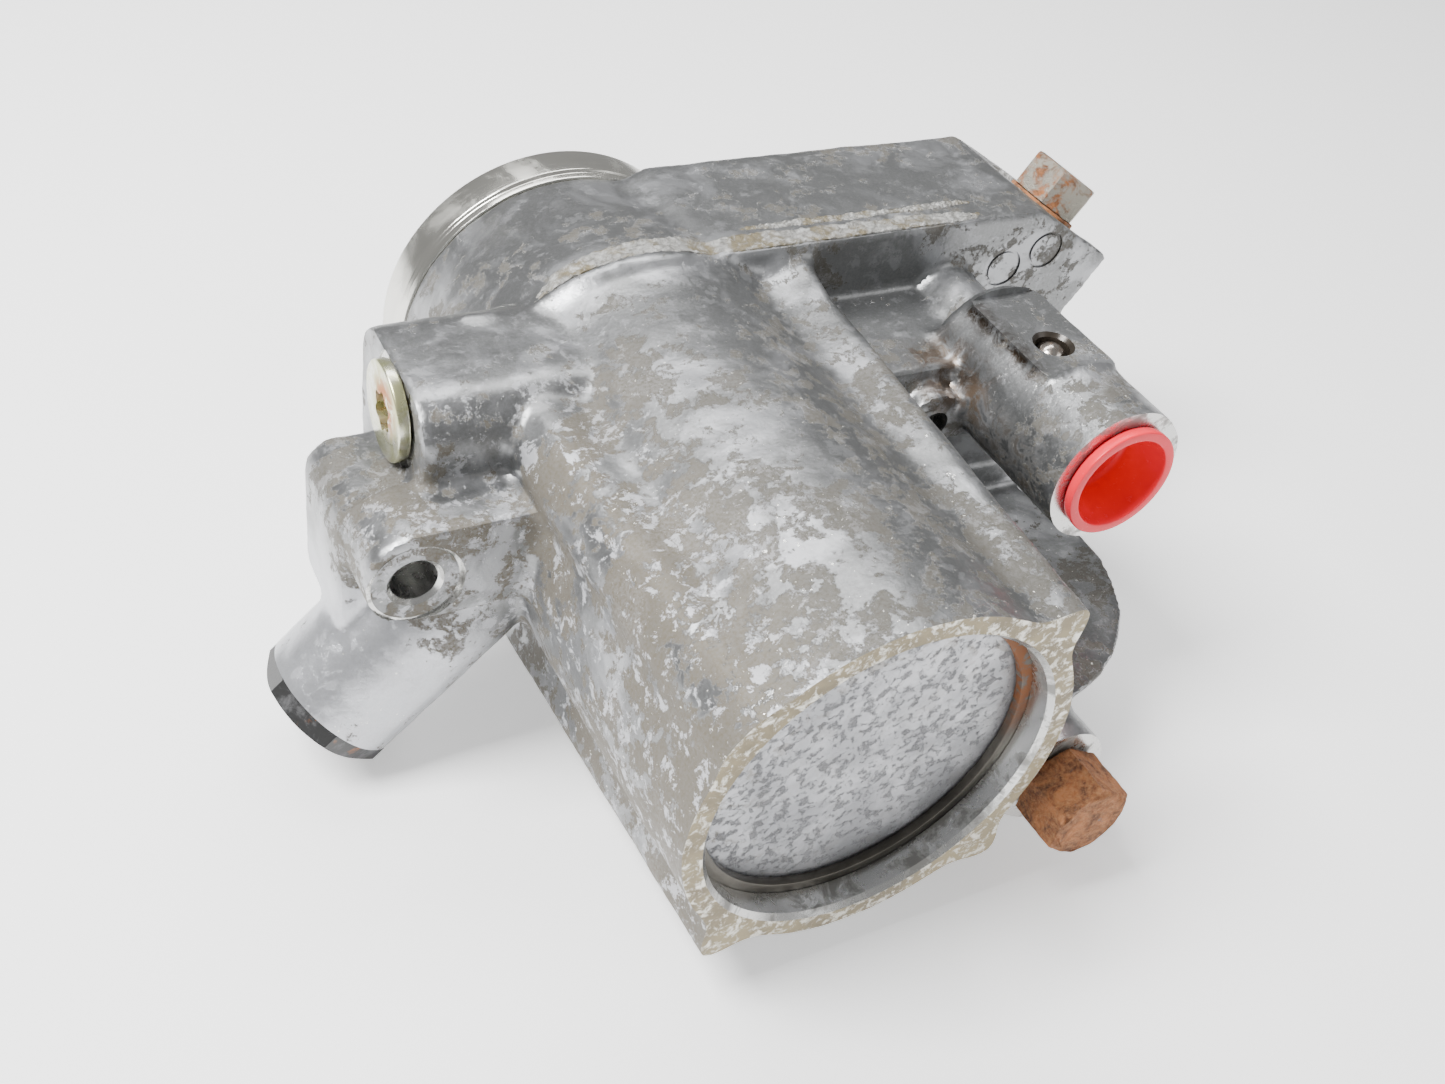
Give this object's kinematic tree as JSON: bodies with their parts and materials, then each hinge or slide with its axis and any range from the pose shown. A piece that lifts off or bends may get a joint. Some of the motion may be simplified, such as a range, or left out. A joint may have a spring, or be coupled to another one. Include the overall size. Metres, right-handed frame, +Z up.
{
  "type": "axial piston pump",
  "caption": "Die-cast hydraulic pump with a ridged barrel, side arm, capped outlet port, threaded plugs, mounting pilot and a keyed shaft driving an axial piston group.",
  "frame": {"origin": "middle of the footprint, at the lowest point", "axes": "+X towards the arm and its port, +Y along the shaft towards its driven end, +Z up"},
  "size_m": [0.261, 0.226, 0.1123],
  "materials": {
    "cast_aluminium": "oxidised die casting",
    "machined_aluminium": "turned",
    "plug_aluminium": "pitted casting",
    "dark_steel": "blued",
    "ground_steel": "ground",
    "bronze": "bearing bronze",
    "spring_steel": "drawn wire",
    "seal_rubber": "moulded",
    "zinc_plate": "yellow zinc plate",
    "black_steel": "black oxide",
    "rusty_steel": "surface rust",
    "red_plastic": "moulded"
  },
  "bodies": {
    "housing": {"main_housing": "cast_aluminium", "front_cover": "machined_aluminium", "rear_end_plug": "plug_aluminium", "plug_snap_ring": "dark_steel", "plug_o_ring": "seal_rubber", "rear_bush": "dark_steel", "bearing_outer_race": "ground_steel", "shaft_seal": "seal_rubber", "seal_clip": "ground_steel", "swash_plate": "ground_steel", "valve_plate": "bronze", "valve_plate_dowel": "ground_steel", "left_plug": "zinc_plate", "slant_plug": "black_steel", "slant_plug_o_ring": "seal_rubber", "top_plug": "zinc_plate", "top_plug_washer": "rusty_steel", "boss_bolt": "rusty_steel", "pad_ball": "ground_steel", "check_seat": "ground_steel", "check_spring": "spring_steel", "cover_screw_1": "dark_steel", "cover_screw_2": "dark_steel", "cover_screw_3": "dark_steel", "cover_screw_4": "dark_steel"},
    "rotor": {"drive_shaft": "ground_steel", "shaft_key": "ground_steel", "bearing_inner_race": "ground_steel", "cylinder_block": "ground_steel", "block_spring": "spring_steel", "spring_seat": "ground_steel"},
    "bearing_balls": {"bearing_ball_1": "ground_steel", "bearing_ball_2": "ground_steel", "bearing_ball_3": "ground_steel", "bearing_ball_4": "ground_steel", "bearing_ball_5": "ground_steel", "bearing_ball_6": "ground_steel", "bearing_ball_7": "ground_steel", "bearing_ball_8": "ground_steel", "bearing_ball_9": "ground_steel"},
    "piston_group_1": {"piston_1": "ground_steel", "slipper_1": "bronze"},
    "piston_group_2": {"piston_2": "ground_steel", "slipper_2": "bronze"},
    "piston_group_3": {"piston_3": "ground_steel", "slipper_3": "bronze"},
    "piston_group_4": {"piston_4": "ground_steel", "slipper_4": "bronze"},
    "piston_group_5": {"piston_5": "ground_steel", "slipper_5": "bronze"},
    "piston_group_6": {"piston_6": "ground_steel", "slipper_6": "bronze"},
    "piston_group_7": {"piston_7": "ground_steel", "slipper_7": "bronze"},
    "cap": {"port_cap": "red_plastic"},
    "check": {"check_ball": "ground_steel"}
  },
  "joints": [
    {"name": "shaft_spin", "type": "hinge", "parent": "housing", "child": "rotor", "pos_m": [-0.0255, 0.0005, 0.05904], "axis": [0, 1, 0], "continuous": true},
    {"name": "bearing_orbit", "type": "hinge", "parent": "housing", "child": "bearing_balls", "pos_m": [-0.0255, 0.0005, 0.05904], "axis": [0, 1, 0], "continuous": true},
    {"name": "piston_1_slide", "type": "slide", "parent": "rotor", "child": "piston_group_1", "axis": [0, -1, 0], "range_m": [0, 0.01286]},
    {"name": "piston_2_slide", "type": "slide", "parent": "rotor", "child": "piston_group_2", "axis": [0, -1, 0], "range_m": [0, 0.01286]},
    {"name": "piston_3_slide", "type": "slide", "parent": "rotor", "child": "piston_group_3", "axis": [0, -1, 0], "range_m": [0, 0.01286]},
    {"name": "piston_4_slide", "type": "slide", "parent": "rotor", "child": "piston_group_4", "axis": [0, -1, 0], "range_m": [0, 0.01286]},
    {"name": "piston_5_slide", "type": "slide", "parent": "rotor", "child": "piston_group_5", "axis": [0, -1, 0], "range_m": [0, 0.01286]},
    {"name": "piston_6_slide", "type": "slide", "parent": "rotor", "child": "piston_group_6", "axis": [0, -1, 0], "range_m": [0, 0.01286]},
    {"name": "piston_7_slide", "type": "slide", "parent": "rotor", "child": "piston_group_7", "axis": [0, -1, 0], "range_m": [0, 0.01286]},
    {"name": "cap_pull", "type": "slide", "parent": "housing", "child": "cap", "axis": [0, -1, 0], "range_m": [0, 0.025]},
    {"name": "check_lift", "type": "slide", "parent": "housing", "child": "check", "axis": [0, 1, 0], "range_m": [0, 0.0015]}
  ],
  "couplings": [
    {"joint": "bearing_orbit", "follows": "shaft_spin", "ratio": 0.4069}
  ]
}
